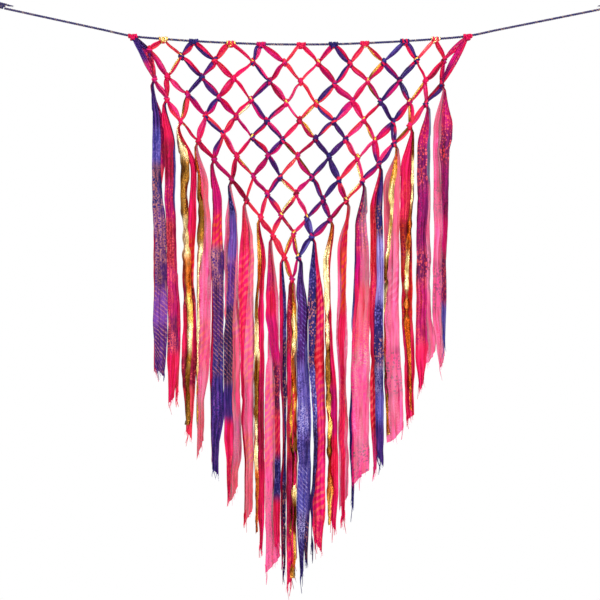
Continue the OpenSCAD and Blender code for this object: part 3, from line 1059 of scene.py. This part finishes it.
def make_net(materials):
    """The strands of the net. Returns the places that each one runs through."""
    knots = [c for node in KNOT_NODES for c in centres(node)]
    routes = {}
    for node, ribbons in STRANDS.items():
        outer = node.endswith("strand_1")
        if outer:
            solid = islands(node)[0]
            top, foot = (drawn(min(knots, key=lambda k: np.linalg.norm(k - solid[row])))
                         for row in (solid[:, 2].argmax(), solid[:, 2].argmin()))
            # The left strand is wide and lies a little inwards, the right one is nearly straight.
            inwards = 0.0050 if node.startswith("left") else -0.0004
            path = [top, (top + foot) / 2 + np.array((inwards, 0, 0)), foot]
        else:
            path = [drawn(knot) for knot in strand_knots(node, knots)]
        routes[node] = path
        mixed = any(ribbon.startswith("gold") for ribbon in ribbons)
        for sign, letter, ribbon in zip((-1, 1), "ab", ribbons):
            facts = (f"{node}_ribbon_{letter}", node, path, sign, *ribbon.split(" ", 1), materials)
            if outer:
                bowed_ribbon(*facts)
            else:
                net_ribbon(*facts, mixed)
    return routes


def bowed_ribbon(name, node, path, sign, kind, words, materials):
    """A ribbon of the outermost strand, which bows out from the cord to the first edge knot."""
    seed = seed_of(name)
    top, bow, foot = path
    bulge = (bow - (top + foot) / 2) * 0.25
    line, along = resample([top, (top * 0.5 + bow * 0.5) + bulge, bow,
                            (foot * 0.5 + bow * 0.5) + bulge, foot], 0.0032)
    q = along / along[-1]
    belly = np.sin(math.pi * q)
    tangent = tangents(line)
    normal = np.stack([-tangent[:, 2], 0 * q, tangent[:, 0]], axis=1)
    if normal[len(q) // 2, 0] < 0:
        normal = -normal
    broad = 1.0 if node.startswith("left") else 0.6
    half = 0.0014 + 0.0038 * broad * belly ** 0.7 * (1 + 0.2 * wander(seed, along, 0.03))
    apart = 0.0008 + 0.0032 * broad * belly
    rock = 0.45 * wander(seed + 9, along, 0.04) * belly
    across, out = turned(normal, rock)
    spine = line + normal * (sign * apart)[:, None] + BACK * (sign * 0.0018 * belly)[:, None]
    net_piece(name, node, kind, words, materials, (spine, across, out, half), OUTER_CUT_WIDTH,
              OUTER_PLEATS, along, 0.008)


def fray(cloth, foot, seed, colour, count):
    """Loose threads that hang from the cut end of a ribbon. foot is the end row of its points."""
    rng = draws(seed)
    for _ in range(count):
        j = rng.uniform(0, len(foot) - 1.001)
        k = int(j)
        start = foot[k] * (1 - (j - k)) + foot[k + 1] * (j - k)
        size, lean, turn = rng.uniform(0.004, 0.014), rng.uniform(-0.5, 0.5), rng.uniform(-0.4, 0.4)
        t = np.linspace(0, 1, 6)
        line = start + np.stack([
            size * (0.5 * lean * t + 0.35 * turn * np.sin(3 * t)), size * 0.12 * np.sin(4 * t + j),
            0.002 - size * t], axis=1)
        wide = (0.00028 * (1 - 0.45 * t))[:, None] * (1, 0, 0)
        grid = np.stack([line - wide, line + wide], axis=1)
        cloth.grid(grid, [0, 0.0005], t * size, plain_paint(colour, len(t)))


def below_neck(solid):
    """The part of a hanging ribbon's CAD solid that has its whole width."""
    return solid[solid[:, 2] < solid[:, 2].max() - NECK_LENGTH]


def tail_facts(solid):
    """A hanging ribbon's neck and the heights of its two end corners, from its CAD solid."""
    neck = solid[solid[:, 2] > solid[:, 2].max() - SAME_PLACE][:, 0].mean()
    wide = below_neck(solid)
    x = wide[:, 0]
    return neck, wide[x < x.min() + SAME_PLACE][:, 2].min(), wide[x > x.max() - SAME_PLACE][:, 2].min()


def gap_lines(words, edge, seed):
    """The two sides of a gap, by the height. edge is the middle between the CAD's bundles."""
    marks = np.array([[float(n) for n in word.replace(":", "/").split("/")] for word in words.split()])
    marks *= MM

    def sides(z):
        shift = np.interp(-z, marks[:, 0], marks[:, 1])
        width = np.maximum(0.85 * np.interp(-z, marks[:, 0], marks[:, 2]) - 0.0005, 0)
        middle = edge + shift + 0.0009 * wander(seed, -z, 0.05) + 0.0004 * wander(seed + 1, -z, 0.018)
        return middle - 0.0001 - width / 2, middle + 0.0001 + width / 2
    return sides


def make_tail(node, index, count, solid, knot, gaps, spec, materials):
    """One of a bundle's ribbons, from its knot down between the gaps at the bundle's sides."""
    kind, extent, words = spec.split(" ", 2)
    front = kind.endswith("+")
    kind = kind.rstrip("+")
    name = f"{node}_ribbon_{'abcd'[index]}"
    seed = seed_of(name)
    rng = draws(seed)
    neck, foot_left, foot_right = tail_facts(solid)
    neck = neck + (drawn(knot)[0] - knot[0])
    knot = drawn(knot)
    length = knot[2] - (foot_left + foot_right) / 2 + LONGER.get(node, 0) * MM
    down = np.linspace(0.0015, length, int(length / ROW_STEP))
    z = knot[2] - down
    slot_left, slot_right = gaps[0](z)[1], gaps[1](z)[0]
    room = slot_right - slot_left
    spread = smooth(down, 0.004, 0.074) ** 0.8
    spans = [[float(n) / 100 for n in part.split("-")] for part in extent.split(">")]
    cross = smooth(down, 0.16 * length, 0.55 * length)
    lean = 0.10 * wander(seed + 70, down, 0.16)
    edges = []
    for k in range(2):
        nominal = spans[0][k] + (spans[-1][k] - spans[0][k]) * cross
        drift = lean + 0.09 * wander(seed + 40 + k, down, 0.08)
        drift = drift + 0.04 * wander(seed + 50 + k, down, 0.024)
        # An edge that lies at the bundle's own edge drifts little, and the others freely.
        inside = smooth(nominal if k == 0 else 1 - nominal, 0.01, 0.12)
        edges.append(slot_left + room * (nominal + drift * (0.25 + 0.75 * inside) + (k - 0.5) * 0.10))
    edge_left, edge_right = np.maximum(edges[0], slot_left), np.minimum(edges[1], slot_right)
    middle, half = (edge_left + edge_right) / 2, np.maximum((edge_right - edge_left) / 2, LEAST_HALF)
    # The lower end gathers to a narrower tip on some ribbons.
    tip = rng.uniform(*TIP_SHARE[kind])
    half *= 1 - (1 - tip) * smooth(down, length - rng.uniform(0.07, 0.15), length)
    reach = 2 * float(half.max())
    half = 0.0015 + (half - 0.0015) * spread
    start = knot[0] + 0.35 * (neck - knot[0])
    x = start + (neck - start) * smooth(down, 0.002, 0.011)
    x = x + (middle - neck) * smooth(down, 0.008, 0.085)
    # Ribbons lie before and behind one another.
    layer = (-1 if front else 1) * (1 if count == 2 or index in (1, 3) else 0.35)
    depth = layer * LAYER_DEPTH * smooth(down, 0.002, 0.05)
    # Metallic ribbons turn over and over, silk ones now and then.
    if kind == "gold":
        turn = 1.15 * wander(seed + 3, down, 0.045) + 0.5 * wander(seed + 4, down, 0.016)
    else:
        turn = 0.42 * wander(seed + 3, down, 0.075)
        if kind == "silk" and reach < TURNING_WIDTH:
            for _ in range(rng.randint(0, 3)):
                where = rng.uniform(0.2, 0.9) * length
                turn = turn + rng.choice((-1, 1)) * math.pi * smooth(down, where, where + 0.045)
    turn = turn * smooth(down, 0.03, 0.09)
    if kind != "gold":
        half = half / np.clip(np.abs(np.cos(turn)), 0.88, 1)
    spine = np.stack([x, depth, z], axis=1)
    across = np.stack([np.cos(turn), np.sin(turn), 0 * turn], axis=1)
    out = np.stack([-np.sin(turn), np.cos(turn), 0 * turn], axis=1)
    cut = max(CUT_WIDTH[kind] * (0.8 + 0.4 * reach / USUAL_WIDTH), 2.08 * float(half.max()))
    points, u, fold_shade, other = pleated(
        spine, across, out, half, cut, PLEATS[kind], seed, down, 0.07, 0.95)
    low = down > NECK_LENGTH
    points[low, :, 0] = np.clip(points[low, :, 0], slot_left[low, None], slot_right[low, None])
    # The cut end slants, in a curve, and is ragged.
    slant = (1 if kind == "chiffon" else np.sign(foot_right - foot_left)) * rng.uniform(*SLANT[kind])
    columns = np.linspace(-0.5, 0.5, points.shape[1])
    drop = slant * columns + abs(slant) * rng.uniform(-0.9, 0.5) * (0.25 - columns ** 2)
    ragged = 0.0012 * rng.uniform(-1, 1, points.shape[1])
    points[:, :, 2] += smooth(down, length - 0.09, length)[:, None] * drop[None, :]
    points[-1, :, 2] += ragged
    cloth = Cloth()
    colours = paint(words, down, seed)
    # A second colour shows only where there is no print.
    plain = np.clip(5 * (1 - colours[2].max(axis=1)), 0, 1) * (kind != "gold")
    cloth.grid(points, u, down, colours, fold_shade=fold_shade, other=other * plain[:, None])
    last = words.split()[-1].split(":")[0]
    if kind != "gold":
        fray(cloth, points[-1], seed + 77, last, THREADS[kind])
        for k in range(rng.randint(*SLIVERS[kind])):
            sliver(cloth, points[-4], seed + 90 + k, last)
    piece = cloth.build(name, [materials[kind]])
    stand_in(piece, node, node, slot_for(kind, words))


def sliver(cloth, row, seed, colour):
    """A narrow strip torn loose at a ribbon's end. row is a row of its points a little above it."""
    rng = draws(seed)
    k = rng.randint(0, len(row) - 1)
    start = (row[k] + row[k + 1]) / 2
    size, lean, turn = rng.uniform(0.022, 0.046), rng.uniform(-0.12, 0.12), rng.uniform(-0.08, 0.08)
    t = np.linspace(0, 1, 12)
    line = start + np.stack([
        size * (lean * t + turn * np.sin(4 * t)), -0.0006 - 0.0008 * np.sin(3 * t), -size * t], axis=1)
    wide = rng.uniform(0.0007, 0.0015) * (1 - 0.6 * t ** 2)
    twist = 0.9 * np.sin(5 * t + rng.uniform(0, 6))
    side = np.stack([np.cos(twist), np.sin(twist), 0 * t], axis=1) * wide[:, None]
    grid = np.stack([line - side, line + 0.3 * side[:, ::-1] * (0, 1, 0), line + side], axis=1)
    # The torn strip is darkened all over with painted fold shade.
    cloth.grid(grid, [0, 0.001, 0.002], t * size, plain_paint(colour, len(t)), fold_shade=0.4)


def make_fringe(materials):
    """The bundles of the fringe, each between the gaps to its neighbours."""
    knots = {side: sorted(centres(f"{side}_edge_knots"), key=lambda c: -c[2])
             for side in ("left", "right")}
    knots["tip"] = centres("tip_knot")
    bundles = []
    for node in TAILS:
        side, number = node.split("_")[0], node.split("_")[-1]
        knot = knots[side][0 if side == "tip" else int(number) - 1]
        solids = sorted(islands(node), key=lambda s: below_neck(s)[:, 0].mean())
        x = np.concatenate([below_neck(s)[:, 0] for s in solids])
        bundles.append((x.min(), x.max(), node, knot, solids))
    bundles.sort(key=lambda b: b[0])
    edges = [bundles[0][0], *((a[1] + b[0]) / 2 for a, b in zip(bundles, bundles[1:])), bundles[-1][1]]
    gaps = [gap_lines(words, edge, seed_of("gap", i))
            for i, (words, edge) in enumerate(zip(GAPS, edges))]
    for i, (_, _, node, knot, solids) in enumerate(bundles):
        tails = TAILS[node]
        for index, spec in enumerate(tails):
            make_tail(node, index, len(tails), solids[index], knot, gaps[i:i + 2], spec, materials)


# ---------------------------------------------------------------------------------------------------
# Knots
# ---------------------------------------------------------------------------------------------------
def wrap_band(cloth, centre, axis, ring, wide, thick, pick, seed, squash=1.0):
    """A pleated ribbon wound once round a knot, about an axis. ring is the ring's radius, and pick its
    cloth and colour."""
    axis, first, second = across_axis(axis)
    around, section = 26, 10
    a = np.arange(around + 1) * 2 * math.pi / around
    b = np.arange(section) * 2 * math.pi / section
    rng = draws(seed)
    ridge = rng.uniform(-1, 1, section)
    wobble = rng.uniform(-1, 1, 3)
    radius = ring * (1 + 0.05 * wobble[0] * np.cos(a + wobble[1] * 3))
    lean = 0.10 * wide * np.sin(a + 3 * wobble[2])
    out = np.cos(a)[:, None] * first + np.sin(a)[:, None] * second * squash
    rise = thick * np.sin(b) * (1 + 0.22 * ridge)
    over = wide * np.cos(b) * (1 + 0.08 * ridge[::-1])
    points = (np.array(centre) + (radius[:, None] + rise[None, :])[..., None] * out[:, None, :]
              + (lean[:, None] + over[None, :])[..., None] * axis)
    u = np.arange(section + 1) / section * 0.012
    # Painted fold shade on the band: some all over, more on random ridges, most at its edges, where it
    # creases into the knot.
    fold_shade = np.clip(0.35 + 0.6 * ridge + 0.9 * np.abs(np.cos(b)) ** 3, 0, 1)
    kind, colour = pick
    cloth.grid(points, u, a * ring, plain_paint(colour, around + 1), KNOT_CLOTHS.index(kind),
               closed=True, fold_shade=fold_shade)


def core_blob(cloth, centre, sizes, pick, seed, tilt):
    """The gathered cloth in the middle of a knot, pleated from top to bottom."""
    rows, cols = 11, 16
    rng = draws(seed)
    pleats = 1 + 0.13 * rng.uniform(-1, 1, cols)
    p = np.linspace(0.04, 0.96, rows) * math.pi
    a = np.arange(cols) * 2 * math.pi / cols
    x = sizes[0] * np.sin(p)[:, None] * np.cos(a) * pleats
    y = sizes[1] * np.sin(p)[:, None] * np.sin(a) * pleats
    z = sizes[2] * np.cos(p)[:, None] + 0 * a
    c, s = math.cos(tilt), math.sin(tilt)
    points = np.stack([x * c + z * s, y, -x * s + z * c], axis=2) + np.array(centre)
    kind, colour = pick
    # Painted fold shade darkens all of it, as cloth gathered under the wraps.
    cloth.grid(points, np.arange(cols + 1) / cols * 0.03, p * sizes[2], plain_paint(colour, rows),
               KNOT_CLOTHS.index(kind), closed=True, fold_shade=0.7)


def colours_at(place, routes):
    """Cloth and colours of the ribbons that run through a knot."""
    found = []
    for node, path in routes.items():
        for k, point in enumerate(path):
            if np.linalg.norm(point - place) < SAME_PLACE:
                for ribbon in STRANDS[node]:
                    kind, *names = ribbon.split()
                    part = names[min(len(names) - 1, int(k / (len(path) - 1) * len(names)))]
                    found.append((kind, part.split(":")[0]))
    return found


def make_knots(routes, materials):
    """The wraps of every knot, in the colours of the ribbons that run through it."""
    for node in KNOT_NODES:
        cloth = Cloth()
        for i, place in enumerate(sorted(centres(node), key=lambda c: c[0])):
            seed = seed_of(node, int(round(place[0] * 1e4)), int(round(place[2] * 1e4)))
            rng = draws(seed)
            place = drawn(place)
            colours = colours_at(place, routes)
            rng.shuffle(colours)
            silks = [c for c in colours if c[0] == "silk"]
            pick = [silks[k % len(silks)] for k in range(4)]
            if len(silks) < len(colours) and rng.uniform() < 0.35:
                pick[1] = ("gold", "gold")
            if node == "header_knots":
                pick = [("gold" if colour in ("gold", "champagne") else "silk", colour)
                        for colour in HEADERS[i].split()]
                header_knot(cloth, place, pick, rng, seed)
            else:
                tied_knot(cloth, place, pick, rng, seed)
        piece = cloth.build(node.rstrip("s") + "_wraps", [materials[kind] for kind in KNOT_CLOTHS])
        stand_in(piece, NET, node, "crimson_silk")


def tied_knot(cloth, place, pick, rng, seed):
    """A tight knot: gathered cloth with three turns of ribbon wound slantwise round it."""
    tilt = rng.uniform(-0.3, 0.3)
    core_blob(cloth, place, (0.0039, 0.0042, 0.0082), pick[0], seed, tilt)
    lean = rng.choice((-1, 1))
    for i, (angle, shift, ring) in enumerate((
            (0.95 * lean, 0.0022, 0.0043), (-0.80 * lean, -0.0020, 0.0044),
            (0.38 * lean, -0.0003, 0.0046))):
        angle = angle + tilt + rng.uniform(-0.2, 0.2)
        axis = (math.sin(angle), rng.uniform(-0.15, 0.15), math.cos(angle))
        centre = place + np.array((rng.uniform(-0.0008, 0.0008), 0, shift))
        wrap_band(cloth, centre, axis, ring * rng.uniform(0.92, 1.06), 0.0020 * rng.uniform(0.8, 1.2),
                  0.0012, pick[i + 1], seed + i)


def header_knot(cloth, place, pick, rng, seed):
    """Two ribbons folded over the cord: turns side by side on it, and the gathered cloth below."""
    step, end = 0.0034, 0.0066
    for i, x in enumerate((-end, -step, 0.0, step, end)):
        axis = (1.0, rng.uniform(-0.12, 0.12), rng.uniform(-0.3, 0.3))
        size = 0.0034 * rng.uniform(0.95, 1.12) * (0.86 if abs(x) == end else 1)
        centre = place + np.array((x, 0, -0.0006 + 0.0008 * abs(x) / end))
        wrap_band(cloth, centre, axis, size, 0.0017, 0.0011, pick[i % 2], seed + i)
    core_blob(cloth, place + np.array((0, 0.0004, -0.0046)), (0.0050, 0.0036, 0.0040), pick[2],
              seed + 9, rng.uniform(-0.3, 0.3))
    for lean, low, which in ((0.55, 0.0040, 1), (-0.6, 0.0048, 0)):
        wrap_band(cloth, place - np.array((0, 0.0002, low)), (lean, 0.1, 1.0), 0.0046, 0.0016, 0.0011,
                  pick[which], seed + int(low * 1e4), squash=0.85)


# ---------------------------------------------------------------------------------------------------
# The scene
# ---------------------------------------------------------------------------------------------------
make_camera()
PLACES = uneven_places()
cord_cloth = cord_material()
make_cord(cord_cloth)
make_loops(cord_cloth)
make_world()
make_lights()
make_floor()
ribbons = {"silk": silk_material(), "chiffon": chiffon_material(), "gold": gold_material()}
strand_routes = make_net(ribbons)
make_knots(strand_routes, ribbons)
make_fringe(ribbons)
